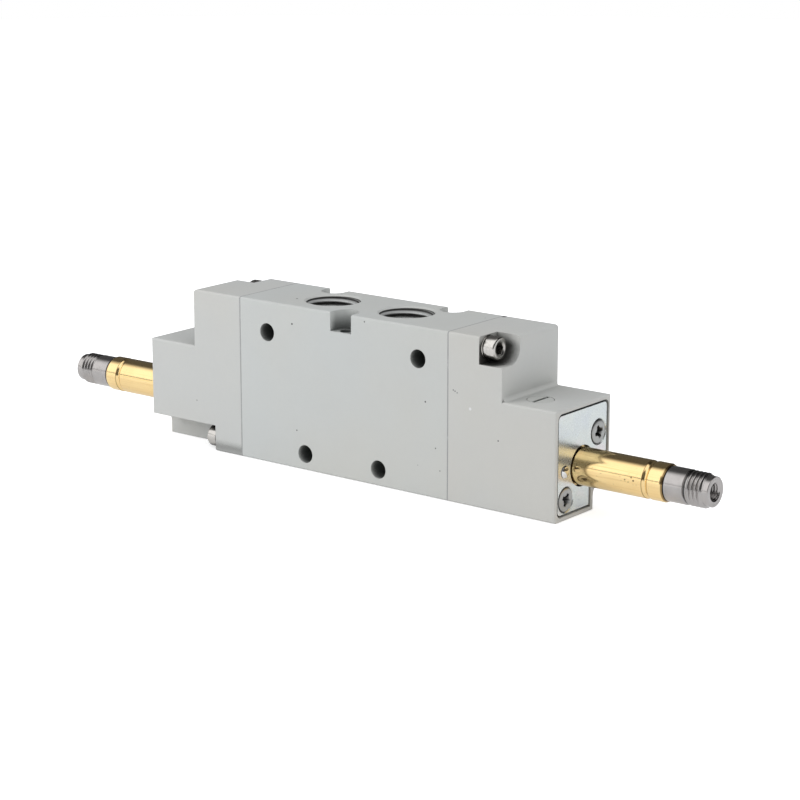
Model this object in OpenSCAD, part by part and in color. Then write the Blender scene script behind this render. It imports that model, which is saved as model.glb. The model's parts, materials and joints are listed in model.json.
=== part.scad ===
// Double-solenoid spool valve, five ports and two positions, shown without its coils.
// The origin is at the centre of the body's underside. X runs along the spool, the front
// face looks towards -Y and Z is up. The left end is the right end turned half round Z.

/* [Body] */
// Length of the die-cast body between its end gaskets
body_l = 62.8; // [61:0.1:70]
// Width of the body and of the end caps
body_w = 22; // [22:0.1:26]
// Height of the body
body_h = 40; // [39:0.1:46]
// Small rounding along the long edges
edge_r = 0.5; // [0.2:0.1:0.8]

/* [Ports] */
// Thread crest diameter cut for the five ports
port_d = 13.2; // [11:0.1:13.4]
// Diameter of the chamfer at a port's mouth
port_mouth_d = 14; // [13.6:0.1:14.2]
// Depth of a port's thread
port_depth = 10; // [8:0.1:10.4]
// Distance between neighbouring ports on one face
port_pitch = 22.4; // [22:0.1:23]
// Diameter of the passage from a port to the spool bore
passage_d = 6.4; // [5:0.1:6.4]

/* [Fixing holes] */
// Diameter of the four holes through the body from front to rear
cross_d = 4.4; // [3.4:0.1:4.8]
// Distance between the two upper cross holes
cross_upper_pitch = 45.8; // [45:0.1:47]
// Height of the upper cross holes
cross_upper_z = 32.4; // [32:0.1:33]
// Height of the lower cross holes
cross_lower_z = 4; // [3.6:0.1:4.6]
// Diameter of the three upright fixing holes
fix_d = 3.2; // [2.6:0.1:3.3]
// Distance from an upright fixing hole to the side face it stands in
fix_edge = 2.2; // [2.1:0.1:2.4]
// Distance between the two rear upright holes
fix_rear_pitch = 36.4; // [36:0.1:37]
// Width of the screw-head notch over each upright hole
notch_w = 6.3; // [5.8:0.1:6.4]
// Depth of the screw-head notch
notch_depth = 4.6; // [3.4:0.1:4.8]

/* [Spool] */
// Diameter of the spool bore
bore_d = 11; // [10:0.1:11.2]
// Diameter of the ring chambers round the spool bore
chamber_d = 13.2; // [12.6:0.1:13.4]
// Width of a ring chamber
chamber_w = 6.8; // [6.6:0.1:7]
// Travel of the spool between its two positions
stroke = 3.6; // [3.2:0.1:3.6]
// Diameter of the spool's core between its lands
core_d = 6.4; // [5:0.1:7]
// Thickness of a seal ring on the spool
seal_t = 1.7; // [1.4:0.1:1.8]
// Width of a spool land that holds a seal ring
land_w = 2.6; // [2.4:0.1:2.8]
// Diameter of the piston chamber in each end cap
piston_d = 14; // [13:0.1:15]
// Thickness of a piston
piston_t = 3; // [2.6:0.1:3.2]

/* [End caps] */
// Thickness of the gasket between the body and an end cap
gasket_t = 0.3; // [0.2:0.1:0.6]
// Length of a cap's tall block
block_l = 15; // [14.6:0.1:17]
// Overall length of an end cap
cap_l = 29.8; // [29.6:0.1:32]
// Height of a cap's low outer step
step_h = 25.8; // [24:0.1:28]
// Distance from a cap's inner face to the seats of its screws
seat_l = 8.6; // [8.4:0.1:9.4]
// Fillet where the tall block meets the step
step_fillet = 1; // [0.6:0.1:1.6]
// Distance from a cap screw to the nearest side face
cap_screw_side = 3.3; // [3.2:0.1:3.5]
// Distance from a cap screw to the top or bottom face
cap_screw_edge = 2.9; // [2.8:0.1:3.2]
// Radius of the pocket round a cap screw's head
pocket_r = 3.5; // [3.2:0.1:3.7]

/* [Screws] */
// Thread diameter of all screws
screw_d = 3; // [2.5:0.1:3]
// Head diameter of a cap screw
head_d = 5.5; // [5:0.1:5.6]
// Head height of a cap screw
head_h = 3; // [2.5:0.1:3]
// Width across the flats of a cap screw's hexagon socket
socket_af = 2.5; // [2:0.1:2.5]
// Length of a cap screw under its head
cap_screw_l = 14; // [13:0.1:14]
// Washer diameter
washer_d = 5.7; // [5.6:0.1:5.8]
// Washer thickness
washer_t = 0.5; // [0.3:0.1:0.6]
// Head diameter of a countersunk plate screw
csk_d = 6; // [5.6:0.1:6.2]
// Length of a countersunk plate screw
csk_l = 8; // [6:0.1:9]

/* [End plates] */
// Thickness of the end plate that clamps the guide tube
plate_t = 2; // [1.8:0.1:2.4]
// Depth of the plate's outer face below the cap's rim
plate_sink = 0.2; // [0.1:0.1:0.6]
// Width of the cap's rim round the plate's recess
rim_w = 0.9; // [0.7:0.1:1.1]
// Gap between the plate and the rim
plate_gap = 0.5; // [0.2:0.1:0.6]
// Distance from a plate screw to the nearest side face
plate_screw_side = 4.6; // [4.4:0.1:4.8]
// Upward distance from the tube's axis to a plate screw
plate_screw_z = 6.6; // [6.4:0.1:6.8]
// Diameter of the domed head of the coil-locating pin
pip_d = 3; // [2.4:0.1:3.2]
// Distance from the tube's axis to the coil-locating pin
pip_reach = 6.9; // [6.8:0.1:7.2]
// Height of that head above the plate
pip_h = 0.7; // [0.5:0.1:0.9]

/* [Guide tubes] */
// Height of the guide tube's axis
tube_z = 11.2; // [11:0.1:11.6]
// Outer diameter of the brass guide tube
tube_d = 8.8; // [8.6:0.1:9]
// Inner diameter of the guide tube
tube_bore_d = 7.6; // [7.4:0.1:7.6]
// Length of the guide tube outside the cap
tube_l = 23.4; // [22:0.1:26]
// Distance from the tube's open end to its rolled groove
groove_back = 4.5; // [4.2:0.1:5]
// Width of the rolled groove
groove_w = 1.7; // [1.6:0.1:2.4]
// Depth of the rolled groove
groove_t = 0.5; // [0.3:0.1:0.6]
// Diameter of the flange under the end plate
flange_d = 13; // [12.4:0.1:13.2]
// Thickness of that flange
flange_t = 1.3; // [1:0.1:1.5]
// Diameter of the plate's hole round the tube
plate_hole_d = 9.6; // [9.2:0.1:9.8]
// Thickness of the seal ring under the flange
flange_ring_t = 1.1; // [0.9:0.1:1.1]

/* [Plugs] */
// Diameter of the steel plug's plain shank outside the tube
plug_d = 8; // [7.8:0.1:8.2]
// Length of the plain shank
plug_shank_l = 5.2; // [4.6:0.1:6]
// Root diameter of the plug's thread
plug_root_d = 6.9; // [6.7:0.1:7]
// Length of the plug's thread
plug_thread_l = 4.6; // [4:0.1:5.4]
// Length of the plain nose
nose_l = 1.3; // [0.8:0.1:1.6]
// Crest diameter of the exhaust thread in the plug
exhaust_d = 4; // [3.6:0.1:4.2]
// Depth of the exhaust thread
exhaust_depth = 7; // [5:0.1:8]
// Diameter of the vent through the rest of the plug
vent_d = 1.2; // [0.8:0.1:1.4]

/* [Armatures] */
// Lift of an armature off its seat
lift = 0.8; // [0.5:0.1:0.8]
// Length of the plug inside the guide tube
core_l = 11.4; // [10.8:0.1:12]
// Depth of the skirt round the valve seat
skirt_depth = 2.4; // [2:0.1:2.6]
// Inner diameter of the skirt
skirt_bore_d = 4.6; // [4.4:0.1:4.8]
// Diameter of the soft seal at each end of an armature
pad_d = 2.6; // [2.4:0.1:2.8]
// Thickness of that soft seal
pad_t = 1.2; // [1:0.1:1.4]
// Depth of the spring pocket
spring_pocket = 5; // [4:0.1:6]
// Mean diameter of the spring
spring_d = 5; // [4.8:0.1:5.1]
// Wire diameter of the spring
wire_d = 0.4; // [0.3:0.1:0.5]
// Turns of the spring
spring_turns = 5; // [4:1:6]

/* [Pilot passages] */
// Diameter of the pilot supply drillings
gallery_d = 1.8; // [1.4:0.1:2]
// Sideways distance of the supply gallery from the middle
gallery_y = 5.5; // [5.4:0.1:5.8]
// Height of the supply gallery
gallery_z = 12; // [12:0.1:12.3]
// Height of the supply drilling inside a cap
feed_z = 8; // [7.6:0.1:8.4]
// Diameter of the drilling from the armature chamber to the piston
signal_d = 1.6; // [1.2:0.1:1.8]
// Height of that drilling above the tube's axis
signal_rise = 3.8; // [3.6:0.1:4]
// Diameter of the armature chamber
cavity_d = 10; // [9.6:0.1:10.2]
// Outer diameter of the valve seat's nozzle
nozzle_d = 3; // [2.6:0.1:3.2]
// Bore of the nozzle
orifice_d = 0.8; // [0.6:0.1:1]

/* [Manual overrides] */
// Distance from the end of the tall block to the override's axis
override_x = 5.3; // [5.1:0.1:5.6]
// Sideways distance of the override's axis from the middle
override_y = 3.4; // [3.3:0.1:3.6]
// Diameter of the slotted head
override_head_d = 6.1; // [5.8:0.1:6.2]
// Thickness of the slotted head
override_head_t = 1.6; // [1.4:0.1:1.8]
// Width of the screwdriver slot
slot_w = 0.9; // [0.7:0.1:1.1]
// Depth of the screwdriver slot
slot_depth = 0.8; // [0.6:0.1:1]
// Angle of the slot from the spool's axis
slot_angle = 62; // [0:1:90]
// Diameter of the override's stem
stem_d = 4.4; // [4.2:0.1:4.4]
// Distance of the cam pin from the stem's axis
cam_offset = 1; // [0.9:0.1:1]
// Diameter of the cam pin
cam_d = 1.2; // [1.1:0.1:1.2]
// Diameter of the pin that keeps the stem in
keeper_d = 1.2; // [1:0.1:1.2]

/* [Hidden] */
$fn = 64;
run_gap = 0.05;        // radial clearance of a running fit
seal_gap = 0.02;       // radial clearance of a seal in its bore
loose_gap = 0.1;       // clearance round parts that only sit in place
lip = 0.3;             // small bevel on turned edges
collar_step = 0.2;     // the tube stands this far out, then in, in the plate's hole
neck_l = 0.8;          // length of its narrow neck just under the plate's face
over = 1;              // how far a cut runs past the face it opens

seam_x = body_l/2;                         // end face of the body
cap_x = seam_x + gasket_t;                 // inner face of the right cap
seat_x = cap_x + seat_l;                   // seats of the cap screws
block_x = cap_x + block_l;                 // end of the tall block
end_x = cap_x + cap_l;                     // rim of the cap's end face
plate_x = end_x - plate_sink;              // outer face of the end plate
seat_plate_x = plate_x - plate_t;          // floor of the plate's recess
flange_x = seat_plate_x - flange_t;        // inner face of the tube's flange
tube_end_x = end_x + tube_l;               // open end of the guide tube
groove_x = tube_end_x - groove_back;       // middle of the rolled groove
core_x = tube_end_x - core_l;              // inner end of the plug
plug_end_x = tube_end_x + plug_shank_l + plug_thread_l + nose_l;
bore_z = body_h/2;                         // axis of the spool
fix_y = body_w/2 - fix_edge;
cap_screw_y = body_w/2 - cap_screw_side;
cap_screw_z = body_h - cap_screw_edge;
plate_screw_y = body_w/2 - plate_screw_side;
wall_y = cap_screw_y - pocket_r;           // inner wall of a screw pocket
pocket_z = cap_screw_z - pocket_r;         // floor of the upper screw pocket
screw_hole_d = screw_d + 0.2;
core_hole_d = screw_d - 0.5;
head_bevel = 0.25;
socket_depth = 1.6;                        // hexagon socket of a cap screw
cross_depth = 0.9;                         // cross recess of a plate screw
cross_l = 2.8;
cross_w = 0.6;
cross_turn = 20;
head_gap = 0.15;                           // gap round a plate screw's head
pip_stem_d = 1.6;
pip_sink = 1;                              // depth of a coil-locating pin in the end plate
screw_bite = cap_screw_l - (seat_x - seam_x) - washer_t;
piston_gap = (stroke + 0.8)/2;             // room for a piston in its middle position
piston_x = cap_x + piston_gap;             // inner face of the right piston at mid stroke
chamber_x = piston_x + piston_t + piston_gap;
armature_x = core_x - lift;                // outer end of the resting armature
armature_d = tube_bore_d - 2*run_gap - 0.06;
air_groove_d = 1.2;
cavity_l = 8.1;                            // length of the armature chamber
nozzle_l = 5.4;                            // length of the nozzle inside that chamber
nozzle_root_l = 3.6;                       // length of the nozzle pressed into the cap
mouth_l = 0.9;                             // flare at the mouth of the exhaust thread
nozzle_cone_l = 0.6;                       // bevel round the nozzle's tip
feed_back = 1.4;                           // from the nozzle's root to the upright drilling
ring_groove = flange_ring_t + 0.1;
cavity_x = flange_x - cavity_l;            // floor of the armature chamber
nozzle_x = cavity_x + nozzle_l;            // tip of the nozzle
nozzle_root_x = cavity_x - nozzle_root_l;
nozzle_body_d = nozzle_d + 1;
skirt_x = nozzle_x - skirt_depth;          // inner end of the resting armature
feed_x = nozzle_root_x - feed_back;        // upright supply drilling
stem_x = block_x + override_x;
stem_low_z = tube_z + armature_d/2 + loose_gap;
cam_low_z = tube_z - over;
head_seat_z = step_h - override_head_t;
keeper_z = 20.5;                           // height of the keeper pin
stem_seal_z = 17.6;                        // height of the stem's seal ring
stem_seal_t = 0.84;
ball_d = gallery_d + 0.6;                  // ball that plugs the upright supply drilling
ball_sink = 0.5;
keeper_bite = 0.45;                        // how deep the keeper pin lies in the stem's neck
keeper_y = -override_y + stem_d/2 + keeper_d/2 - keeper_bite;
land_d = bore_d - 2*run_gap;
seal_groove_d = bore_d - 2*seal_gap - 2*seal_t - 0.1;
spigot_l = 2;                              // spigots that carry the pistons
spigot_d = 4;
piston_seal_t = 1.5;
piston_groove_d = piston_d - 2*seal_gap - 2*piston_seal_t - 0.1;
// Seal rings from the middle of the spool: each of the first two closes a bridge between two
// chambers at one end of the stroke and leaves it at the other; the last always seals the end
seal_x = [port_pitch/4 + stroke/2 - 0.4,
          3*port_pitch/4 - stroke/2 + 0.4,
          (seam_x + port_pitch + chamber_w/2)/2];

// Shared shapes

module left_end() { rotate([0, 0, 180]) children(); }

module both_ends() {
    children();
    left_end() children();
}

// Stands what is drawn upright so that its axis runs along +X
module along_x(x = 0, y = 0, z = 0) { translate([x, y, z]) rotate([0, 90, 0]) children(); }

// Extrudes an outline drawn across the valve, Y then Z, from x0 to x1
module section(x0, x1) { translate([x0, 0, 0]) rotate([90, 0, 90]) linear_extrude(x1 - x0) children(); }

module hole_x(x0, x1, y, z, d) { along_x(x0, y, z) cylinder(h = x1 - x0, d = d); }

module rounded_square(x0, y0, x1, y1, r) {
    for (x = [x0 + r, x1 - r], y = [y0 + r, y1 - r]) translate([x, y]) circle(r);
    translate([x0 + r, y0]) square([x1 - x0 - 2*r, y1 - y0]);
    translate([x0, y0 + r]) square([x1 - x0, y1 - y0 - 2*r]);
}

// What a rounding takes off a convex corner that stands at the upper right
module corner_trim(r) {
    translate([-r, -r]) difference() {
        square(r + over);
        circle(r);
        translate([-over, -over]) square([over, r + 2*over]);
        translate([-over, -over]) square([r + 2*over, over]);
    }
}

module ring(mean_d, t) { rotate_extrude() translate([mean_d/2, 0]) circle(d = t, $fn = 32); }

// Body

module port(x, depth = port_depth) {
    translate([x, 0, -depth]) cylinder(h = depth + over, d = port_d);
    translate([x, 0, -(port_mouth_d - port_d)/2])
        cylinder(h = (port_mouth_d - port_d)/2, d1 = port_d, d2 = port_mouth_d);
    translate([x, 0, 0]) cylinder(h = over, d = port_mouth_d);
    translate([x, 0, -bore_z]) cylinder(h = bore_z - depth + 0.1, d = passage_d);
}

module fixing_hole(x, side) {
    translate([x, side*fix_y, -over]) cylinder(h = body_h + 2*over, d = fix_d);
    translate([x, side*fix_y, body_h - notch_depth]) cylinder(h = notch_depth + over, d = notch_w);
    translate([x - notch_w/2, side > 0 ? fix_y : -fix_y - fix_edge - over, body_h - notch_depth])
        cube([notch_w, fix_edge + over, notch_depth + over]);
}

module body_cuts() {
    hole_x(-seam_x - over, seam_x + over, 0, bore_z, bore_d);
    for (i = [-2:2]) translate([i*port_pitch/2, 0, 0])
        hole_x(-chamber_w/2, chamber_w/2, 0, bore_z, chamber_d);
    for (i = [-1, 1]) translate([0, 0, body_h]) port(i*port_pitch/2);
    for (i = [-1:1]) rotate([180, 0, 0]) port(i*port_pitch);
    for (i = [-1, 1]) {
        translate([i*cross_upper_pitch/2, 0, cross_upper_z]) rotate([90, 0, 0])
            cylinder(h = body_w + 2*over, d = cross_d, center = true);
        translate([i*port_pitch/2, 0, cross_lower_z]) rotate([90, 0, 0])
            cylinder(h = body_w + 2*over, d = cross_d, center = true);
        fixing_hole(i*fix_rear_pitch/2, 1);
    }
    fixing_hole(0, -1);
    // the supply port's wider passage feeds both pilot galleries
    translate([0, 0, port_depth - over])
        cylinder(h = gallery_z - port_depth + over + gallery_d/2, d = 2*gallery_y - 0.6);
    both_ends() {
        hole_x(0, seam_x + over, gallery_y, gallery_z, gallery_d);
        cap_screw_places() hole_x(-screw_bite - 0.5, over, 0, 0, core_hole_d);
    }
}

// Puts what is drawn at the body's end face on each of the right cap's two screws
module cap_screw_places() {
    translate([seam_x, -cap_screw_y, cap_screw_z]) children();
    translate([seam_x, cap_screw_y, body_h - cap_screw_z]) children();
}

module body() {
    color([0.72, 0.74, 0.73]) difference() {
        section(-seam_x, seam_x) rounded_square(-body_w/2, 0, body_w/2, body_h, edge_r);
        body_cuts();
    }
}

// Gaskets

module gasket() {
    color([0.45, 0.45, 0.43]) difference() {
        section(seam_x, cap_x) rounded_square(-body_w/2, 0, body_w/2, body_h, edge_r);
        hole_x(seam_x - over, cap_x + over, 0, bore_z, piston_d);
        hole_x(seam_x - over, cap_x + over, gallery_y, gallery_z, gallery_d);
        cap_screw_places() hole_x(-over, over + gasket_t, 0, 0, screw_hole_d);
    }
}

// End caps

module pocket_outline() {
    translate([-cap_screw_y, cap_screw_z]) circle(pocket_r);
    translate([-cap_screw_y, cap_screw_z]) square([pocket_r, cap_screw_edge + over]);
    translate([-body_w/2 - over, pocket_z])
        square([cap_screw_side + over, pocket_r + cap_screw_edge + over]);
}

// Outline of the end plate; g widens it to the recess that it lies in
module plate_outline(g = 0) {
    margin = rim_w + plate_gap;
    difference() {
        rounded_square(margin - body_w/2 - g, margin - g, body_w/2 - margin + g, step_h - margin + g, 1 + g);
        rounded_square(wall_y - margin + g, -over, body_w, body_h - pocket_z + margin - g, 1);
    }
}

module cap_blank() {
    intersection() {
        union() {
            section(cap_x, block_x) rounded_square(-body_w/2, 0, body_w/2, body_h, edge_r);
            section(cap_x, end_x) rounded_square(-body_w/2, 0, body_w/2, step_h, edge_r);
            translate([block_x, 0, step_h]) rotate([90, 0, 0])
                linear_extrude(body_w - 2*edge_r, center = true) difference() {
                    translate([-over, -over]) square(step_fillet + over);
                    translate([step_fillet, step_fillet]) circle(step_fillet);
                }
        }
        translate([0, 0, -over]) linear_extrude(body_h + 2*over) difference() {
            translate([cap_x, -body_w/2]) square([cap_l, body_w]);
            translate([end_x, body_w/2]) corner_trim(edge_r);
            mirror([0, 1]) translate([end_x, body_w/2]) corner_trim(edge_r);
        }
        rotate([90, 0, 0]) linear_extrude(body_w + 2*over, center = true) difference() {
            translate([cap_x, -over]) square([cap_l, body_h + 2*over]);
            translate([block_x, body_h]) corner_trim(2*edge_r);
            translate([end_x, step_h]) corner_trim(edge_r);
        }
    }
}

module pilot_cuts() {
    // groove in the inner face that carries the supply to the middle
    section(cap_x - over, cap_x + 1.2) {
        translate([gallery_y, gallery_z]) circle(d = gallery_d + 0.4);
        translate([0, feed_z]) circle(d = gallery_d + 0.4);
        translate([0, feed_z]) rotate(atan2(gallery_z - feed_z, gallery_y))
            translate([0, -gallery_d/2])
                square([norm([gallery_y, gallery_z - feed_z]), gallery_d]);
    }
    hole_x(cap_x, feed_x, 0, feed_z, gallery_d);
    translate([feed_x, 0, -over]) cylinder(h = tube_z + over, d = gallery_d);
    translate([feed_x, 0, -over]) cylinder(h = ball_sink + ball_d + over, d = ball_d + 2*seal_gap);
    hole_x(feed_x - gallery_d/2, cavity_x, 0, tube_z, gallery_d);
    hole_x(nozzle_root_x, cavity_x + over, 0, tube_z, nozzle_body_d + 2*seal_gap);
    hole_x(chamber_x - over, cavity_x + over, 0, tube_z + signal_rise, signal_d);
}

module override_cuts() {
    translate([stem_x, -override_y, tube_z]) cylinder(h = step_h, d = stem_d + 2*run_gap);
    translate([stem_x, -override_y, head_seat_z]) cylinder(h = step_h, d = override_head_d + 2*head_gap);
    hole_x(stem_x - stem_d/2, end_x, keeper_y, keeper_z, keeper_d + 2*seal_gap);
}

module cap() {
    color([0.73, 0.74, 0.73]) difference() {
        cap_blank();
        section(seat_x, block_x + over) pocket_outline();
        translate([0, 0, body_h]) rotate([180, 0, 0]) section(seat_x, end_x + over) pocket_outline();
        cap_screw_places() hole_x(0, seat_x - seam_x + over, 0, 0, screw_hole_d);
        section(seat_plate_x, end_x + over) plate_outline(plate_gap);
        hole_x(cap_x - over, chamber_x, 0, bore_z, piston_d);
        hole_x(cavity_x, end_x, 0, tube_z, cavity_d);
        hole_x(flange_x - ring_groove, end_x, 0, tube_z, cavity_d + 2*ring_groove + 0.2);
        hole_x(flange_x, end_x, 0, tube_z, flange_d + 2*loose_gap);
        plate_screw_places() hole_x(-csk_l - 1, 0, 0, 0, core_hole_d);
        pilot_cuts();
        override_cuts();
    }
}

// Screws and washers

module cap_screw() {
    under = seat_x - seam_x + washer_t;
    difference() {
        union() {
            hole_x(-screw_bite, under, 0, 0, core_hole_d - 2*seal_gap);
            hole_x(0, under, 0, 0, screw_d - loose_gap);
            hole_x(under, under + head_h - head_bevel, 0, 0, head_d);
            along_x(under + head_h - head_bevel)
                cylinder(h = head_bevel, d1 = head_d, d2 = head_d - 2*head_bevel);
        }
        section(under + head_h - socket_depth, under + head_h + over)
            circle(d = socket_af/cos(30), $fn = 6);
    }
}

module cap_screws() { color([0.72, 0.71, 0.69]) both_ends() cap_screw_places() cap_screw(); }

module cap_screw_washers() {
    color([0.62, 0.6, 0.58]) both_ends() cap_screw_places() difference() {
        hole_x(seat_x - seam_x, seat_x - seam_x + washer_t, 0, 0, washer_d);
        hole_x(seat_x - seam_x - over, seat_x - seam_x + washer_t + over, 0, 0, screw_hole_d);
    }
}

module plate_screw_places() {
    for (side = [-1, 1])
        translate([seat_plate_x, side*plate_screw_y, tube_z + side*plate_screw_z]) children();
}

// Countersunk head, or with g the wider countersink that it lies in
module countersink(g = 0) {
    cone_h = (csk_d - screw_d)/2;
    along_x(plate_t - cone_h) cylinder(h = cone_h, d1 = screw_d + 2*g, d2 = csk_d + 2*g);
    hole_x(0, plate_t - cone_h, 0, 0, screw_d + 2*g);
}

module plate_screw() {
    difference() {
        union() {
            countersink();
            hole_x(plate_t - csk_l, 0, 0, 0, core_hole_d - 2*seal_gap);
        }
        // cross recess
        for (a = [0, 90]) rotate([a + cross_turn, 0, 0])
            translate([plate_t - cross_depth, -cross_l/2, -cross_w/2])
                cube([cross_depth + over, cross_l, cross_w]);
    }
}

module plate_screws() { color([0.62, 0.64, 0.68]) both_ends() plate_screw_places() plate_screw(); }

// End plates and coil-locating pins

module end_plate() {
    color([0.6, 0.64, 0.68]) difference() {
        section(seat_plate_x, plate_x) plate_outline();
        hole_x(seat_plate_x - over, plate_x + over, 0, tube_z, plate_hole_d);
        plate_screw_places() {
            countersink(head_gap);
            hole_x(-over, 0, 0, 0, screw_d + 2*head_gap);
            hole_x(plate_t, plate_t + over, 0, 0, csk_d + 2*head_gap);
        }
        hole_x(plate_x - pip_sink, plate_x + over, -pip_reach, tube_z, pip_stem_d + 2*seal_gap);
    }
}

module coil_pins() {
    color([0.85, 0.85, 0.85]) both_ends() {
        hole_x(plate_x - pip_sink, plate_x, -pip_reach, tube_z, pip_stem_d);
        along_x(plate_x, -pip_reach, tube_z) cylinder(h = pip_h, d1 = pip_d, d2 = pip_d - 2*pip_h);
    }
}

// Guide tubes and plugs

// Points of a rolled groove's wave at radius r, from its inner end to its outer end
function groove_wave(r, w, t) = [for (i = [0:12]) [r - t*(1 - cos(i*30))/2, groove_x - w/2 + i*w/12]];

function reversed(points) = [for (i = [len(points) - 1:-1:0]) points[i]];

module guide_tube() {
    r = tube_d/2;
    bore_r = tube_bore_d/2;
    collar_r = r + collar_step;
    neck_x = plate_x - neck_l;
    outside = concat(
        [[bore_r, flange_x], [flange_d/2, flange_x], [flange_d/2, seat_plate_x],
         [collar_r, seat_plate_x], [collar_r, neck_x], [r - collar_step, neck_x],
         [r - collar_step, plate_x], [r, plate_x]],
        groove_wave(r, groove_w, groove_t),
        [[r, tube_end_x - 2*lip], [r - lip, tube_end_x], [bore_r, tube_end_x]]);
    color([0.72, 0.58, 0.3]) along_x(0, 0, tube_z) rotate_extrude()
        polygon(concat(outside, reversed(groove_wave(bore_r, groove_w, groove_t))));
}

module tube_seal_rings() {
    color([0.1, 0.1, 0.1]) both_ends() along_x(flange_x - ring_groove/2, 0, tube_z)
        ring(cavity_d + ring_groove + 0.1, flange_ring_t);
}

module plug() {
    r = tube_bore_d/2 - seal_gap;
    thread_x = tube_end_x + plug_shank_l;
    outside = concat(
        [[0, core_x], [r, core_x]],
        groove_wave(r, groove_w + 2*loose_gap, groove_t + run_gap),
        [[r, tube_end_x], [plug_d/2, tube_end_x], [plug_d/2, thread_x - lip], [plug_root_d/2, thread_x],
         [plug_root_d/2, plug_end_x - lip/3], [plug_root_d/2 - lip/3, plug_end_x], [0, plug_end_x]]);
    color([0.76, 0.76, 0.75]) difference() {
        along_x(0, 0, tube_z) rotate_extrude() polygon(outside);
        hole_x(core_x - over, plug_end_x, 0, tube_z, vent_d);
        hole_x(plug_end_x - exhaust_depth, plug_end_x + over, 0, tube_z, exhaust_d);
        along_x(plug_end_x - mouth_l, 0, tube_z)
            cylinder(h = mouth_l, d1 = exhaust_d, d2 = exhaust_d + 2*mouth_l);
    }
}

// Valve seat, armature and spring

module nozzle() {
    color([0.78, 0.65, 0.35]) difference() {
        union() {
            hole_x(nozzle_root_x, cavity_x, 0, tube_z, nozzle_body_d);
            hole_x(cavity_x, nozzle_x - nozzle_cone_l, 0, tube_z, nozzle_d);
            along_x(nozzle_x - nozzle_cone_l, 0, tube_z)
                cylinder(h = nozzle_cone_l, d1 = nozzle_d, d2 = nozzle_d - 2*nozzle_cone_l);
        }
        hole_x(nozzle_root_x - over, nozzle_x + over, 0, tube_z, orifice_d);
    }
}

module gallery_balls() {
    color([0.7, 0.7, 0.7]) both_ends() translate([feed_x, 0, ball_sink + ball_d/2])
        sphere(d = ball_d, $fn = 32);
}

module armature() {
    color([0.62, 0.63, 0.64]) difference() {
        hole_x(skirt_x, armature_x, 0, tube_z, armature_d);
        hole_x(skirt_x - over, nozzle_x + seal_gap, 0, tube_z, skirt_bore_d);
        hole_x(nozzle_x, nozzle_x + seal_gap + pad_t, 0, tube_z, pad_d);
        hole_x(armature_x - pad_t, armature_x + over, 0, tube_z, pad_d);
        along_x(armature_x - spring_pocket, 0, tube_z) difference() {
            cylinder(h = spring_pocket + over, d = spring_d + wire_d + 8*loose_gap);
            cylinder(h = spring_pocket + over, d = spring_d - wire_d - 6*loose_gap);
        }
        // grooves that let air pass the armature
        for (side = [-1, 1])
            hole_x(skirt_x - over, armature_x + over, 0, tube_z + side*armature_d/2, air_groove_d);
    }
}

module armature_pads() {
    color([0.14, 0.14, 0.14]) {
        hole_x(nozzle_x + seal_gap, nozzle_x + seal_gap + pad_t, 0, tube_z, pad_d);
        hole_x(armature_x - pad_t, armature_x - seal_gap, 0, tube_z, pad_d);
    }
}

// One closed tube swept along a helix; the ends are drawn flat
module spring() {
    sides = 8;
    steps = 20*spring_turns;
    free_l = spring_pocket + lift - wire_d - 0.1;
    function at(i, k) =
        let (a = 360*spring_turns*i/steps, u = 360*k/sides, r = (spring_d + wire_d*cos(u))/2)
        [r*cos(a), r*sin(a), wire_d/2 + 0.05 + free_l*i/steps + wire_d/2*sin(u)];
    points = [for (i = [0:steps], k = [0:sides - 1]) at(i, k)];
    walls = [for (i = [0:steps - 1], k = [0:sides - 1])
        let (m = (k + 1)%sides) [i*sides + k, (i + 1)*sides + k, (i + 1)*sides + m, i*sides + m]];
    caps = [[for (k = [0:sides - 1]) k], [for (k = [sides - 1:-1:0]) steps*sides + k]];
    color([0.8, 0.8, 0.8]) along_x(armature_x - spring_pocket, 0, tube_z)
        polyhedron(points, concat(walls, caps), convexity = 8);
}

// Manual override

module override() {
    neck_d = stem_d - 2*keeper_bite - 2*run_gap;
    color([0.62, 0.64, 0.63]) translate([stem_x, -override_y, 0]) difference() {
        union() {
            translate([0, 0, head_seat_z + run_gap])
                cylinder(h = override_head_t - run_gap, d = override_head_d);
            translate([0, 0, stem_low_z]) cylinder(h = step_h - over - stem_low_z, d = stem_d);
            translate([-cam_offset, 0, cam_low_z]) cylinder(h = stem_low_z + over - cam_low_z, d = cam_d);
        }
        rotate(slot_angle) translate([-override_head_d, -slot_w/2, step_h - slot_depth])
            cube([2*override_head_d, slot_w, slot_depth + over]);
        neck_cut(keeper_z, keeper_d + 2*run_gap, neck_d);
        neck_cut(stem_seal_z, stem_seal_t + 0.16, stem_d - 2*stem_seal_t - 2*seal_gap);
    }
}

// Ring cut of width w down to diameter d at height z on the stem
module neck_cut(z, w, d) {
    translate([0, 0, z - w/2]) difference() {
        cylinder(h = w, d = stem_d + over);
        translate([0, 0, -over]) cylinder(h = w + 2*over, d = d);
    }
}

module override_seal() {
    color([0.1, 0.1, 0.1]) translate([stem_x, -override_y, stem_seal_z])
        ring(stem_d - stem_seal_t - seal_gap, stem_seal_t);
}

module override_keepers() {
    color([0.7, 0.7, 0.7]) both_ends()
        hole_x(stem_x - stem_d/2 + loose_gap, seat_plate_x - run_gap, keeper_y, keeper_z, keeper_d);
}

// Spool and pistons, drawn at the left end of their travel

module spool_place() { along_x(-stroke/2, 0, bore_z) children(); }

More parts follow.
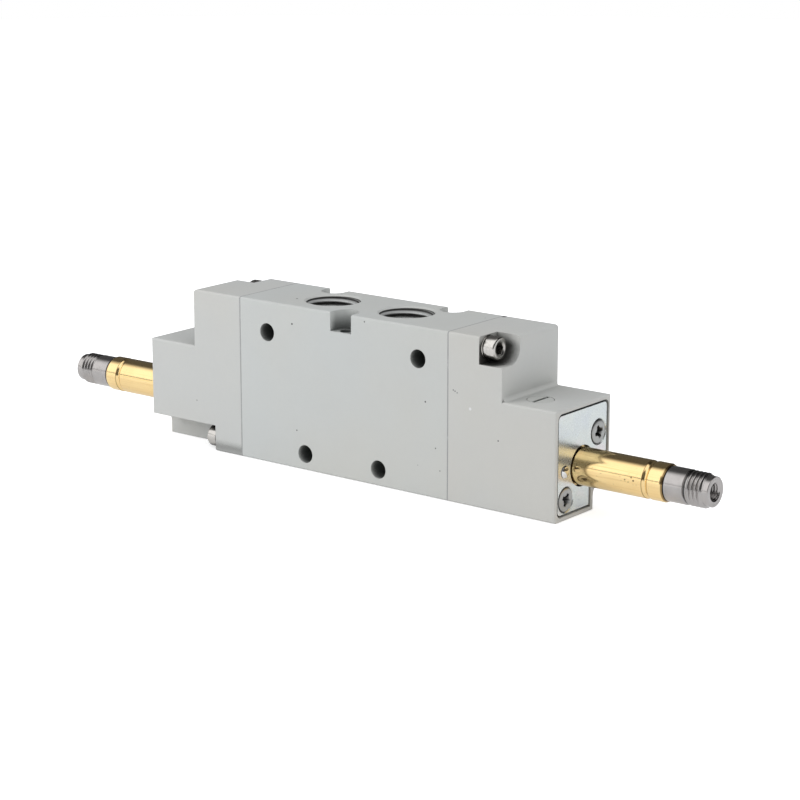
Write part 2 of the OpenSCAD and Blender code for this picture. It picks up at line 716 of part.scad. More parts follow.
module spool() {
    color([0.75, 0.76, 0.78]) spool_place() difference() {
        union() {
            translate([0, 0, -piston_x]) cylinder(h = 2*piston_x, d = core_d);
            for (x = seal_x, side = [-1, 1])
                translate([0, 0, side*x - land_w/2]) cylinder(h = land_w, d = land_d);
            translate([0, 0, -piston_x - spigot_l]) cylinder(h = 2*(piston_x + spigot_l), d = spigot_d);
        }
        for (x = seal_x, side = [-1, 1]) translate([0, 0, side*x - seal_t/2 - 0.05]) difference() {
            cylinder(h = seal_t + 0.1, d = bore_d);
            translate([0, 0, -over]) cylinder(h = seal_t + 2*over, d = seal_groove_d);
        }
    }
}

module spool_seals() {
    color([0.1, 0.1, 0.1]) spool_place() for (x = seal_x, side = [-1, 1])
        translate([0, 0, side*x]) ring(bore_d - 2*seal_gap - seal_t, seal_t);
}

module piston() {
    color([0.9, 0.9, 0.86]) difference() {
        hole_x(piston_x, piston_x + piston_t, 0, bore_z, piston_d - 2*run_gap);
        hole_x(piston_x - over, piston_x + spigot_l + 0.1, 0, bore_z, spigot_d + 2*seal_gap);
        along_x(piston_x + piston_t/2 - piston_seal_t/2 - 0.05, 0, bore_z) difference() {
            cylinder(h = piston_seal_t + 0.1, d = piston_d + over);
            translate([0, 0, -over]) cylinder(h = piston_seal_t + 2*over, d = piston_groove_d);
        }
    }
}

module piston_seal() {
    color([0.1, 0.1, 0.1]) along_x(piston_x + piston_t/2, 0, bore_z)
        ring(piston_d - 2*seal_gap - piston_seal_t, piston_seal_t);
}

module at_rest() { translate([-stroke/2, 0, 0]) children(); }

body();
left_end() gasket();  // left_gasket
gasket();  // right_gasket
left_end() cap();  // left_cap
cap();  // right_cap
cap_screws();
cap_screw_washers();
left_end() end_plate();  // left_end_plate
end_plate();  // right_end_plate
plate_screws();
coil_pins();
left_end() guide_tube();  // left_guide_tube
guide_tube();  // right_guide_tube
tube_seal_rings();
left_end() plug();  // left_plug
plug();  // right_plug
left_end() nozzle();  // left_nozzle
nozzle();  // right_nozzle
gallery_balls();
left_end() armature();  // left_armature
armature();  // right_armature
left_end() armature_pads();  // left_armature_pads
armature_pads();  // right_armature_pads
left_end() spring();  // left_spring
spring();  // right_spring
left_end() override();  // left_override
override();  // right_override
left_end() override_seal();  // left_override_seal
override_seal();  // right_override_seal
override_keepers();
spool();
spool_seals();
at_rest() left_end() piston();  // left_piston
at_rest() piston();  // right_piston
at_rest() left_end() piston_seal();  // left_piston_seal
at_rest() piston_seal();  // right_piston_seal
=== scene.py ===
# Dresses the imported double-solenoid valve: camera, light, finishes, threads, screws and pins.
# Lengths are in metres; MM turns millimetres into them.
import json
import math

import bmesh
import bpy
from mathutils import Matrix, Vector


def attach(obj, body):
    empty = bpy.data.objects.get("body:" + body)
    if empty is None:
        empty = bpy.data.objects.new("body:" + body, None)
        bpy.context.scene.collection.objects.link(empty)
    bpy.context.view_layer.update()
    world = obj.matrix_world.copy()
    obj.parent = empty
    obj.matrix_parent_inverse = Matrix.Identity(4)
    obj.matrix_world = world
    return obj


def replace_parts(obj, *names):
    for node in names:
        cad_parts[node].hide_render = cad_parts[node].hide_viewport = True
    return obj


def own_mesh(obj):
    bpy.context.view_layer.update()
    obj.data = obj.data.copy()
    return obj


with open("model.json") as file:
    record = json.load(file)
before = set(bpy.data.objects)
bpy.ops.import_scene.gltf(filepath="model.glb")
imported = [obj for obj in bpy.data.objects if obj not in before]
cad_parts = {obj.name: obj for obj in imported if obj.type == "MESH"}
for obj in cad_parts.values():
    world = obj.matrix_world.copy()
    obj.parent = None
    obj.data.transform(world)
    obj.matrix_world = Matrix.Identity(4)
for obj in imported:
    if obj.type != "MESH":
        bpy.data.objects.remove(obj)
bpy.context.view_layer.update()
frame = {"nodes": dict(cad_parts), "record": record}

MM = 0.001
SCENE = bpy.context.scene
X, Y, Z = 0, 1, 2
ENDS = (("right", 1), ("left", -1))
MOUNTS = {mount["name"]: mount for mount in frame["record"]["mounts"]}


# Where things are on the valve, from the frame

def span(node_name, axis):
    """Where a CAD node begins and ends along an axis, in millimetres, to the hundredth."""
    node = frame["nodes"][node_name]
    places = [(node.matrix_world @ Vector(corner))[axis] / MM for corner in node.bound_box]
    return round(min(places), 2), round(max(places), 2)


def middle(node_name, axis):
    """The middle of a CAD node along an axis, in metres."""
    return round(sum(span(node_name, axis)) / 2, 2) * MM


def mount_radius(name):
    """The radius that the record gives for a mount, in metres."""
    return MOUNTS[name]["dims"]["r_mm"] * MM


BODY_H = span("body", Z)[1] * MM
MIDDLE = Vector((0, 0, BODY_H / 2))
SEAM_X = span("body", X)[1] * MM                    # end face of the body, where a cap begins
TUBE_Z = middle("right_guide_tube", Z)              # axis of the guide tubes
TUBE_END_X = span("right_guide_tube", X)[1] * MM    # open end of a guide tube
NOSE_X = span("right_plug", X)[1] * MM              # outer end of a plug
PLATE_X = span("right_end_plate", X)[1] * MM        # outer face of an end plate
HEAD_X = span("cap_screws", X)[1] * MM              # outer face of a cap screw's head
OVERRIDE_X = middle("right_override", X)
OVERRIDE_Y = -middle("right_override", Y)
PORT_PITCH = MOUNTS["port_5"]["pos_m"][X]           # from one port to the next
PORT_R = mount_radius("port_1")
PLUG_ROOT_R = mount_radius("right_coil_thread")
EXHAUST_R = mount_radius("right_exhaust")

# What no node's box and no mount gives, as in the part's source
THREAD_X = 90.1 * MM                                # start of a plug's thread
GROOVE_X = 80.4 * MM                                # middle of a tube's rolled groove
GROOVE_W = 1.4 * MM
CAP_SCREW_Y = 7.7 * MM
CAP_SCREW_RISE = 17.1 * MM                          # how far the cap screws are above and below the middle
CAP_SCREW_TOP_Z = BODY_H / 2 + CAP_SCREW_RISE
PLATE_SCREW_Y = 6.4 * MM
PLATE_SCREW_RISE = 6.6 * MM                         # how far the plate screws are above and below the tube
COIL_PIN_Y = 6.9 * MM
OVERRIDE_HEAD_Z = 24.2 * MM                         # underside of an override's head

# Threads that the solids leave plain
PORT_CREST_R = 5.8 * MM
PORT_THREAD_PITCH = 1.337 * MM
PLUG_CREST_R = 3.95 * MM
PLUG_THREAD_PITCH = 1.0 * MM
EXHAUST_CREST_R = 1.65 * MM
EXHAUST_THREAD_PITCH = 0.7 * MM

# Degrees from the override's slot in the solids to the slot in the photograph
SLOT_TURN = 28
# Degrees by which each plate screw's cross recess is turned
CROSS_TURNS = (20, 62, 35, 78)


# Camera: the photograph's viewpoint

def facing(place, right, up, back):
    """The matrix of a camera or lamp that looks away from back."""
    return Matrix.Translation(place) @ Matrix((right, up, back)).transposed().to_4x4()


def set_camera(yaw, pitch, distance, shift, lens):
    """A camera turned by yaw and pitch about the valve's middle, then moved right and up by shift."""
    y, p = math.radians(yaw), math.radians(pitch)
    back = Vector((math.sin(y) * math.cos(p), -math.cos(y) * math.cos(p), math.sin(p)))
    right = Vector((math.cos(y), math.sin(y), 0))
    up = back.cross(right)
    data = bpy.data.cameras.new("camera")
    data.lens = lens
    data.sensor_width = 36
    data.clip_start = 0.01
    camera = bpy.data.objects.new("camera", data)
    SCENE.collection.objects.link(camera)
    place = MIDDLE + right * shift[0] + up * shift[1] + back * distance
    camera.matrix_world = facing(place, right, up, back)
    SCENE.camera = camera


set_camera(yaw=38.079, pitch=14.071, distance=586.318 * MM, shift=(7.158 * MM, -2.941 * MM), lens=110.125)


# Node helpers

class Nodes:
    """Short ways to add and join nodes in one tree."""

    def __init__(self, tree):
        self.tree = tree

    def add(self, kind, **values):
        node = self.tree.nodes.new(kind)
        for key, value in values.items():
            setattr(node, key, value)
        return node

    def put(self, socket, value):
        if isinstance(value, bpy.types.NodeSocket):
            self.tree.links.new(value, socket)
        else:
            socket.default_value = value

    def math(self, operation, a, b=None, c=None, clamp=False):
        node = self.add("ShaderNodeMath", operation=operation, use_clamp=clamp)
        for i, value in enumerate((a, b, c)):
            if value is not None:
                self.put(node.inputs[i], value)
        return node.outputs[0]

    def vector(self, operation, a, b=None, out=0):
        node = self.add("ShaderNodeVectorMath", operation=operation)
        self.put(node.inputs[0], a)
        if b is not None:
            self.put(node.inputs[1], b)
        return node.outputs[out]

    def remap(self, value, low, high, to_low=0.0, to_high=1.0):
        node = self.add("ShaderNodeMapRange", interpolation_type="SMOOTHSTEP")
        for i, v in enumerate((value, low, high, to_low, to_high)):
            self.put(node.inputs[i], v)
        return node.outputs[0]

    def mix(self, factor, a, b, blend="MIX"):
        node = self.add("ShaderNodeMix", data_type="RGBA", blend_type=blend)
        self.put(node.inputs["Factor"], factor)
        self.put(node.inputs[6], a)
        self.put(node.inputs[7], b)
        return node.outputs[2]

    def noise(self, where, scale, detail=2.0, rough=0.5):
        node = self.add("ShaderNodeTexNoise")
        self.put(node.inputs["Vector"], where)
        self.put(node.inputs["Scale"], scale)
        node.inputs["Detail"].default_value = detail
        node.inputs["Roughness"].default_value = rough
        return node.outputs[0]

    def apart(self, vector):
        """The X, Y and Z of a vector."""
        node = self.add("ShaderNodeSeparateXYZ")
        self.put(node.inputs[0], vector)
        return node.outputs

    def together(self, *values):
        """A vector of up to three values; the others are 0."""
        node = self.add("ShaderNodeCombineXYZ")
        for i, value in enumerate(values):
            self.put(node.inputs[i], value)
        return node.outputs[0]

    def hypotenuse(self, a, b):
        """How far a point is from an axis, by its two offsets."""
        return self.math("SQRT", self.math("ADD", self.math("MULTIPLY", a, a), self.math("MULTIPLY", b, b)))

    def place(self):
        return self.add("ShaderNodeTexCoord").outputs["Object"]

    def even(self, value):
        """The same value in red, green and blue."""
        node = self.add("ShaderNodeCombineColor")
        for i in range(3):
            self.put(node.inputs[i], value)
        return node.outputs[0]


def grey(v):
    return (v, v, v, 1)


def darker(color, share):
    """A colour times a share, opaque."""
    return tuple(c * share for c in color[:3]) + (1,)


def new_group(name, inputs, outputs):
    """A shader node group of values; inputs are (name, default) and outputs are names."""
    tree = bpy.data.node_groups.new(name, "ShaderNodeTree")
    for label, default in inputs:
        socket = tree.interface.new_socket(label, in_out="INPUT", socket_type="NodeSocketFloat")
        socket.default_value = default
    for label in outputs:
        tree.interface.new_socket(label, in_out="OUTPUT", socket_type="NodeSocketFloat")
    n = Nodes(tree)
    return n, n.add("NodeGroupInput").outputs, n.add("NodeGroupOutput").inputs


def casting_grain_group():
    """Satin coat over a die casting: soft mottling, fine orange peel and a few dark pits."""
    n, given, out = new_group(
        "Casting grain",
        [("Mottle", 0.04), ("Peel Size", 0.5), ("Pit Share", 0.3)],
        ["Shade", "Pits", "Height"])
    where = n.place()
    cloud = n.noise(where, 55, 3, 0.55)
    fine = n.noise(where, 900, 2, 0.5)
    peel = n.noise(where, n.math("DIVIDE", 1000, given["Peel Size"]), 1, 0.4)
    shade = n.math("ADD", n.math("SUBTRACT", cloud, 0.5),
                   n.math("MULTIPLY", n.math("SUBTRACT", fine, 0.5), 0.5))
    n.put(out["Shade"], n.math("MULTIPLY_ADD", shade, given["Mottle"], 1.0))
    cells = n.add("ShaderNodeTexVoronoi", feature="F1")
    n.put(cells.inputs["Vector"], where)
    cells.inputs["Scale"].default_value = 220
    dots = n.remap(cells.outputs["Distance"], 0.05, 0.035)
    rare = n.math("LESS_THAN", n.noise(cells.outputs["Position"], 350, 0, 0.5), given["Pit Share"])
    pits = n.math("MULTIPLY", dots, rare)
    n.put(out["Pits"], pits)
    n.put(out["Height"], n.math("SUBTRACT", n.math("MULTIPLY", peel, 0.35), pits))
    return n.tree


def edge_wear_group():
    """Mask of a solid's sharp edges, broken up by noise."""
    n, given, out = new_group(
        "Edge wear", [("Width", 0.4 * MM), ("Amount", 0.5)], ["Mask"])
    bevel = n.add("ShaderNodeBevel", samples=4)
    n.put(bevel.inputs["Radius"], given["Width"])
    true_normal = n.add("ShaderNodeNewGeometry").outputs["Normal"]
    turn = n.math("SUBTRACT", 1.0, n.vector("DOT_PRODUCT", bevel.outputs[0], true_normal, 1))
    edge = n.remap(turn, 0.01, 0.12)
    broken = n.remap(n.noise(n.place(), 420, 3, 0.6), 0.35, 0.65)
    n.put(out["Mask"], n.math("MULTIPLY", n.math("MULTIPLY", edge, broken), given["Amount"]))
    return n.tree


def recess_shade_group(name, own):
    """How deep a point lies in a hole or corner, 0 in the open and 1 deep inside.

    With own, only the solid itself counts as what surrounds the point."""
    n, given, out = new_group(
        name, [("Reach", 4 * MM), ("Strength", 1.0), ("Start", 0.58), ("Full", 0.14)], ["Mask"])
    cover = n.add("ShaderNodeAmbientOcclusion", samples=8, only_local=own)
    n.put(cover.inputs["Distance"], given["Reach"])
    deep = n.remap(cover.outputs["AO"], given["Start"], given["Full"])
    n.put(out["Mask"], n.math("MULTIPLY", deep, given["Strength"], clamp=True))
    return n.tree


def from_screw(n, centre_z, screw_y, screw_rise, face_x):
    """How far a point is from the nearest of four screws along X, and how high above it.

    The screws lie crosswise about the height centre_z, and are turned half round at the other end.
    Past face_x, the distance along X counts too."""
    x, y, z = n.apart(n.place())
    rise = n.math("SUBTRACT", z, centre_z)
    turned_y = n.math("MULTIPLY", y, n.math("MULTIPLY", n.math("SIGN", x), n.math("SIGN", rise)))
    above = n.math("SUBTRACT", n.math("ABSOLUTE", rise), screw_rise)
    past = n.math("MAXIMUM", 0.0, n.math("SUBTRACT", n.math("ABSOLUTE", x), face_x))
    off = n.together(past, n.math("SUBTRACT", turned_y, screw_y), above)
    return n.vector("LENGTH", off, out=1), above


def screw_pocket_group():
    """Painted shadow and shade round the cap screws' heads: 1 beside a head, 0 outside the pockets."""
    n, given, out = new_group(
        "Screw pocket shadow", [("Near", 4 * MM), ("Far", 6.2 * MM)], ["Mask"])
    away, above = from_screw(n, BODY_H / 2, -CAP_SCREW_Y, CAP_SCREW_RISE, HEAD_X)
    # Painted shadow of a head on its pocket, strongest beside the head and weaker above it
    beside = n.math("MULTIPLY", n.remap(away, given["Far"], given["Near"]),
                    n.remap(above, 0.2 * MM, 2.6 * MM, 1.0, 0.4))
    sunk = use(n, RECESS, Reach=3.5 * MM, Start=0.97, Full=0.72)["Mask"]
    n.put(out["Mask"], n.math("MULTIPLY", beside, sunk))
    return n.tree


def turning_marks_group():
    """Fine rings that a lathe leaves round an axis along X."""
    n, given, out = new_group(
        "Turning marks", [("Axis Height", TUBE_Z), ("Ring Size", 0.05)], ["Value", "Height"])
    x, y, z = n.apart(n.place())
    reach = n.hypotenuse(y, n.math("SUBTRACT", z, given["Axis Height"]))
    value = n.noise(n.together(x, reach), n.math("DIVIDE", 1000, given["Ring Size"]), 2, 0.6)
    smudge = n.noise(n.place(), 260, 2, 0.5)
    n.put(out["Value"], n.math("ADD", n.math("MULTIPLY", value, 0.6),
                               n.math("MULTIPLY", smudge, 0.4)))
    n.put(out["Height"], value)
    return n.tree


def handling_group():
    """Small stains and rubbed patches from handling."""
    n, given, out = new_group(
        "Handling marks", [("Size", 3.0), ("Amount", 0.5)], ["Mask", "Specks"])
    where = n.place()
    patch = n.remap(n.noise(where, n.math("DIVIDE", 1000, given["Size"]), 4, 0.6), 0.5, 0.72)
    n.put(out["Mask"], n.math("MULTIPLY", patch, given["Amount"]))
    speck = n.remap(n.noise(where, 2600, 1, 0.5), 0.74, 0.8)
    n.put(out["Specks"], n.math("MULTIPLY", speck, given["Amount"]))
    return n.tree


def use(n, group, **values):
    """Places a group with these inputs and gives its outputs; an underscore stands for a space."""
    node = n.add("ShaderNodeGroup", node_tree=group)
    for key, value in values.items():
        n.put(node.inputs[key.replace("_", " ")], value)
    return node.outputs


GRAIN = casting_grain_group()
EDGES = edge_wear_group()
RECESS = recess_shade_group("Recess shade", own=False)
OWN_RECESS = recess_shade_group("Own recess shade", own=True)
POCKET = screw_pocket_group()
TURNED = turning_marks_group()
HANDLED = handling_group()


def material(name):
    """A new material, its nodes and the inputs of its Principled BSDF."""
    m = bpy.data.materials.new(name)
    m.use_nodes = True
    n = Nodes(m.node_tree)
    return m, n, m.node_tree.nodes["Principled BSDF"].inputs


def spot(n, x, y, z, radius):
    """Mask of a small round mark; its place and radius are in millimetres."""
    away = n.vector("DISTANCE", n.place(), (x * MM, y * MM, z * MM), 1)
    return n.remap(away, radius * MM, radius * 0.55 * MM)


def joint_ring(n, at, half_width):
    """Mask of a ring round both tubes, at that distance from the middle of the valve."""
    x = n.apart(n.place())[X]
    away = n.math("ABSOLUTE", n.math("SUBTRACT", n.math("ABSOLUTE", x), at))
    return n.remap(away, half_width, half_width * 0.6)


def rounded_bump(n, height, strength, distance, radius):
    """Bump over normals that are rounded at the solid's sharp edges."""
    bevel = n.add("ShaderNodeBevel", samples=6)
    bevel.inputs["Radius"].default_value = radius
    bump = n.add("ShaderNodeBump")
    bump.inputs["Strength"].default_value = strength
    bump.inputs["Distance"].default_value = distance
    n.put(bump.inputs["Height"], height)
    n.put(bump.inputs["Normal"], bevel.outputs[0])
    return bump.outputs[0]


def cast_coat(name, color, nicks=(), pockets=False):
    """Light-grey satin coat on a die casting, with painted shade in its holes and corners.

    nicks are marks on it, and pockets adds painted shadow round the cap screws' heads."""
    m, n, shader = material(name)
    grain = use(n, GRAIN, Mottle=0.05, Peel_Size=0.45, Pit_Share=0.34)
    edges = use(n, EDGES, Width=0.25 * MM, Amount=0.35)["Mask"]
    # Painted shade deep in holes and corners
    depth = use(n, OWN_RECESS, Reach=7 * MM, Start=0.66, Full=0.22)["Mask"]
    # Broad painted shade in wide corners, such as the steps beside the tall block, none low down
    corner = use(n, OWN_RECESS, Reach=18 * MM, Strength=0.5, Start=0.86, Full=0.34)["Mask"]
    corner = n.math("MULTIPLY", corner, n.remap(n.apart(n.place())[Z], 8 * MM, 16 * MM))
    marks = use(n, HANDLED, Size=9.0, Amount=0.5)
    yellowed = (color[0] * 1.02, color[1] * 0.995, color[2] * 0.965, 1)
    tint = n.mix(n.remap(n.noise(n.place(), 22, 2, 0.5), 0.35, 0.65), color + (1,), yellowed)
    paint = n.mix(1.0, tint, n.even(grain["Shade"]), "MULTIPLY")
    paint = n.mix(n.math("MULTIPLY", marks["Mask"], 0.10), paint, grey(0.42))
    paint = n.mix(edges, paint, (0.66, 0.67, 0.66, 1))
    paint = n.mix(n.math("MULTIPLY", grain["Pits"], 0.7), paint, grey(0.16))
    height = grain["Height"]
    for x, y, z, radius, shade in nicks:
        mark = spot(n, x, y, z, radius)
        paint = n.mix(mark, paint, grey(shade))
        height = n.math("SUBTRACT", height, mark)
    # Broad painted shade in wide corners
    paint = n.mix(corner, paint, (0.27, 0.285, 0.27, 1))
    # Painted shade deep in holes and corners
    paint = n.mix(n.math("MULTIPLY", depth, 0.87), paint, (0.030, 0.033, 0.031, 1))
    if pockets:
        # Painted shadow and shade round the cap screws' heads, inside the pockets
        pocket_shadow = n.math("MULTIPLY", use(n, POCKET)["Mask"], 0.95)
        paint = n.mix(pocket_shadow, paint, (0.022, 0.021, 0.018, 1))
    n.put(shader["Base Color"], paint)
    n.put(shader["Roughness"], n.math("MULTIPLY_ADD", n.noise(n.place(), 300, 2, 0.5), 0.14, 0.40))
    shader["Specular IOR Level"].default_value = 0.42
    n.put(shader["Normal"], rounded_bump(n, height, 0.35, 0.03 * MM, 0.22 * MM))
    return m


def turned_metal(name, color, rough, axis=TUBE_Z, ring=0.09, bump=0.25, stain_and_shade=(0.1, 0.09, 0.08, 1),
                 stain_amount=0.35, reach=1.6, start=0.58, full=0.14, strength=0.85, metallic=1.0,
                 root=None, dark_rings=()):
    """Metal with the rings of a lathe round it and faint stains, with painted shade where it lies deep.

    axis is the height of the lathe's axis. In millimetres, ring is the width of the rings and reach
    is how near other surfaces must lie for painted shade. root is a function that gives the mask of painted
    shade at a thread's root, and dark_rings are rings of painted shade at the joints and undercuts round a
    tube."""
    m, n, shader = material(name)
    marks = use(n, TURNED, Axis_Height=axis, Ring_Size=ring)
    handled = use(n, HANDLED, Size=2.2, Amount=stain_amount)
    # Painted shade where other surfaces lie near
    depth = use(n, RECESS, Reach=reach * MM, Strength=strength, Start=start, Full=full)["Mask"]
    bright = n.mix(n.remap(marks["Value"], 0.35, 0.65), color, darker(color, 0.84))
    bright = n.mix(handled["Specks"], bright, stain_and_shade)
    bright = n.mix(n.math("MULTIPLY", handled["Mask"], 0.3), bright, stain_and_shade)
    if root:
        depth = n.math("MAXIMUM", depth, root(n))
    # Rings of painted shade at joints and undercuts
    for at, half_width, shade in dark_rings:
        bright = n.mix(joint_ring(n, at, half_width), bright, grey(shade))
    # Painted shade in recesses, a darker copy of the stain colour
    n.put(shader["Base Color"], n.mix(depth, bright, darker(stain_and_shade, 0.25)))
    shader["Metallic"].default_value = metallic
    n.put(shader["Roughness"], n.math("MULTIPLY_ADD", marks["Value"], 0.16, rough - 0.08))
    n.put(shader["Normal"], rounded_bump(n, marks["Height"], bump, 0.01 * MM, 0.08 * MM))
    return m


def drawn_brass():
    """Bright drawn tube: faint lengthwise streaks, small dark spots and warmer patches."""
    m, n, shader = material("drawn brass")
    where = n.place()
    streak = n.noise(n.vector("MULTIPLY", where, (40, 2600, 2600)), 1, 3, 0.6)
    patch = n.remap(n.noise(where, 130, 3, 0.55), 0.35, 0.68)
    handled = use(n, HANDLED, Size=2.6, Amount=0.8)
    gold = n.mix(patch, (0.90, 0.68, 0.34, 1), (0.87, 0.64, 0.31, 1))
    gold = n.mix(n.remap(streak, 0.52, 0.75), gold, (0.78, 0.55, 0.25, 1))
    gold = n.mix(n.math("MULTIPLY", handled["Specks"], 0.9), gold, (0.10, 0.06, 0.03, 1))
    for x, y, z, radius in TUBE_SPECKS:
        gold = n.mix(spot(n, x, y, z, radius), gold, (0.09, 0.05, 0.02, 1))
    # Rings of painted shade at the tube's rolled end and its groove's edges
    for at, half_width, shade in TUBE_SHADE_RINGS:
        gold = n.mix(joint_ring(n, at, half_width), gold, darker((0.9, 0.6, 0.27), shade))
    # Painted shade in recesses
    depth = use(n, RECESS, Reach=1.0 * MM, Strength=0.6)["Mask"]
    n.put(shader["Base Color"], n.mix(depth, gold, (0.22, 0.13, 0.05, 1)))
    shader["Metallic"].default_value = 1.0
    n.put(shader["Roughness"], n.math("MULTIPLY_ADD", streak, 0.08, 0.10))
    n.put(shader["Normal"], rounded_bump(n, streak, 0.12, 0.008 * MM, 0.1 * MM))
    return m


def zinc(name, rough, tint, dull=0.92, reach=1.2, start=0.58, full=0.14, strength=0.95, metallic=0.8,
         rims=False):
    """Bluish passivated zinc with faint rainbow clouds; tint takes it towards plain grey.

    dull darkens all of it, and rims paints shade round the edges of the plate screws' heads; recesses get
    painted shade too."""
    m, n, shader = material(name)
    where = n.place()
    cloud = n.noise(where, 170, 2, 0.5)
    ramp = n.add("ShaderNodeValToRGB")
    n.put(ramp.inputs[0], cloud)
    ramp.color_ramp.elements[0].position = 0.30
    ramp.color_ramp.elements[0].color = (0.70, 0.76, 0.80, 1)
    ramp.color_ramp.elements[1].position = 0.72
    ramp.color_ramp.elements[1].color = (0.84, 0.80, 0.82, 1)
    greenish = ramp.color_ramp.elements.new(0.5)
    greenish.color = (0.76, 0.82, 0.80, 1)
    handled = use(n, HANDLED, Size=3.0, Amount=0.5)
    edges = use(n, EDGES, Width=0.2 * MM, Amount=0.5)["Mask"]
    # Painted shade in recesses
    depth = use(n, RECESS, Reach=reach * MM, Strength=strength, Start=start, Full=full)["Mask"]
    if rims:
        # Painted shade round the rim of each plate screw's head, where it meets the plate
        away = from_screw(n, TUBE_Z, PLATE_SCREW_Y, PLATE_SCREW_RISE, face_x=TUBE_END_X)[0]
        depth = n.math("MAXIMUM", depth, n.remap(away, 2.55 * MM, 2.78 * MM, 0.0, 0.9))
    metal = n.mix(tint, ramp.outputs[0], (0.80, 0.80, 0.78, 1))
    metal = n.mix(n.math("MULTIPLY", handled["Mask"], 0.35), metal, (0.60, 0.60, 0.58, 1))
    metal = n.mix(n.math("MULTIPLY", edges, 0.6), metal, grey(0.93))
    metal = n.mix(1.0, metal, grey(dull), "MULTIPLY")
    n.put(shader["Base Color"], n.mix(depth, metal, (0.02, 0.02, 0.02, 1)))
    shader["Metallic"].default_value = metallic
    fine = n.noise(where, 2400, 2, 0.6)
    n.put(shader["Roughness"], n.math("MULTIPLY_ADD", fine, 0.12, rough))
    n.put(shader["Normal"], rounded_bump(n, fine, 0.10, 0.006 * MM, 0.12 * MM))
    return m


def sealing_rubber(name, tone):
    """Matt rubber or gasket sheet with a little dust; tone is its grey."""
    m, n, shader = material(name)
    fine = n.noise(n.place(), 1500, 3, 0.6)
    dust = n.remap(n.noise(n.place(), 500, 3, 0.6), 0.55, 0.8)
    n.put(shader["Base Color"], n.mix(n.math("MULTIPLY", dust, 0.3), grey(tone), grey(tone * 2.6)))
    n.put(shader["Roughness"], n.math("MULTIPLY_ADD", fine, 0.2, 0.55))
    n.put(shader["Normal"], rounded_bump(n, fine, 0.3, 0.01 * MM, 0.05 * MM))
    return m


def acetal():
    """Natural white plastic of the pistons, with faint turning rings."""
    m, n, shader = material("natural acetal")
    marks = use(n, TURNED, Axis_Height=BODY_H / 2, Ring_Size=0.12)
    cloud = n.noise(n.place(), 200, 2, 0.5)
    n.put(shader["Base Color"], n.mix(cloud, (0.82, 0.80, 0.74, 1), (0.74, 0.72, 0.65, 1)))
    n.put(shader["Roughness"], n.math("MULTIPLY_ADD", marks["Value"], 0.2, 0.35))
    shader["Subsurface Weight"].default_value = 0.05
    n.put(shader["Normal"], rounded_bump(n, marks["Height"], 0.2, 0.01 * MM, 0.1 * MM))
    return m


# Nicks in the coat, (x, y, z, radius, grey), lengths in millimetres
BODY_NICKS = [(-15.0, -11, 35.5, 0.30, 0.05), (-13.8, -11, 9.5, 0.24, 0.08), (7.2, -11, 39.0, 0.24, 0.10),
              (25.1, -11, 22.6, 0.27, 0.06), (28.1, -11, 12.0, 0.22, 0.10), (-19.2, -4.1, 40, 0.36, 0.05)]
CAP_NICKS = [(37.9, -11, 22.9, 0.45, 0.72), (45.8, -11, 16.7, 0.24, 0.10), (33.1, -11, 26.6, 0.22, 0.16),
             (33.6, -11, 26.4, 0.24, 0.2), (34.2, -11, 26.1, 0.2, 0.16), (32.2, 9.9, 40, 0.8, 0.08)]
# Dark specks on the brass, (x, y, z, radius) in millimetres
TUBE_SPECKS = [(62.9, -1.6, 15.3, 0.25), (75.5, -4.4, 11.4, 0.2), (77.1, -4.3, 12.1, 0.22),
               (77.7, -4.4, 11.5, 0.26), (76.4, -4.4, 11.0, 0.14), (74.2, -4.4, 11.9, 0.13)]
# Rings of painted shade, (distance from the middle of the valve, half width, grey): on a tube at its rolled
# end and both edges of its groove, on a plug at the joint with the tube and the undercut before the thread
TUBE_SHADE_RINGS = [(TUBE_END_X - 0.1 * MM, 0.3 * MM, 0.33), (GROOVE_X - GROOVE_W / 2, 0.12 * MM, 0.5),
              (GROOVE_X + GROOVE_W / 2, 0.12 * MM, 0.5)]
PLUG_SHADE_RINGS = [(TUBE_END_X + 0.1 * MM, 0.22 * MM, 0.015), (THREAD_X, 0.16 * MM, 0.16)]

FINISH = {
    "cast_body": cast_coat("body coat", (0.555, 0.572, 0.560), BODY_NICKS),
    "cast_cap": cast_coat("cap coat", (0.560, 0.568, 0.552), CAP_NICKS, pockets=True),
    "gasket": sealing_rubber("gasket sheet", 0.34),
    "cap_screw_steel": turned_metal("cap screw steel", (0.60, 0.58, 0.55, 1), 0.22, axis=CAP_SCREW_TOP_Z,
                                    ring=0.2, bump=0.1, reach=2.4, start=0.7, full=0.3),
    "washer": turned_metal("washer steel", (0.45, 0.43, 0.40, 1), 0.24, axis=CAP_SCREW_TOP_Z, ring=0.2,
                           bump=0.1),
    "zinc_plate": zinc("blue zinc plate", 0.2, 0.2),
    "zinc_screw": zinc("zinc screw", 0.28, 0.8, dull=0.54, reach=2.4, start=0.75, full=0.35,
                       strength=0.84, metallic=0.9, rims=True),
    "pin_steel": turned_metal("bright pin", (0.86, 0.86, 0.86, 1), 0.12, ring=0.1, bump=0.05,
                              stain_amount=0.1),
    "brass_tube": drawn_brass(),
    "seal_rubber": sealing_rubber("seal ring", 0.02),
    "plug_steel": turned_metal("plug steel", (0.45, 0.43, 0.42, 1), 0.22, ring=0.08, reach=1.8, start=0.52,
                               dark_rings=PLUG_SHADE_RINGS),
    "nozzle_brass": turned_metal("nozzle brass", (0.83, 0.63, 0.30, 1), 0.25),
    "armature_steel": turned_metal("armature steel", (0.60, 0.59, 0.58, 1), 0.28),
    "spring_steel": turned_metal("spring wire", (0.68, 0.67, 0.64, 1), 0.25, bump=0.05),
    "override_metal": cast_coat("override metal", (0.52, 0.53, 0.51)),
    "spool_metal": turned_metal("spool aluminium", (0.80, 0.80, 0.81, 1), 0.24, axis=BODY_H / 2),
    "piston_plastic": acetal(),
}


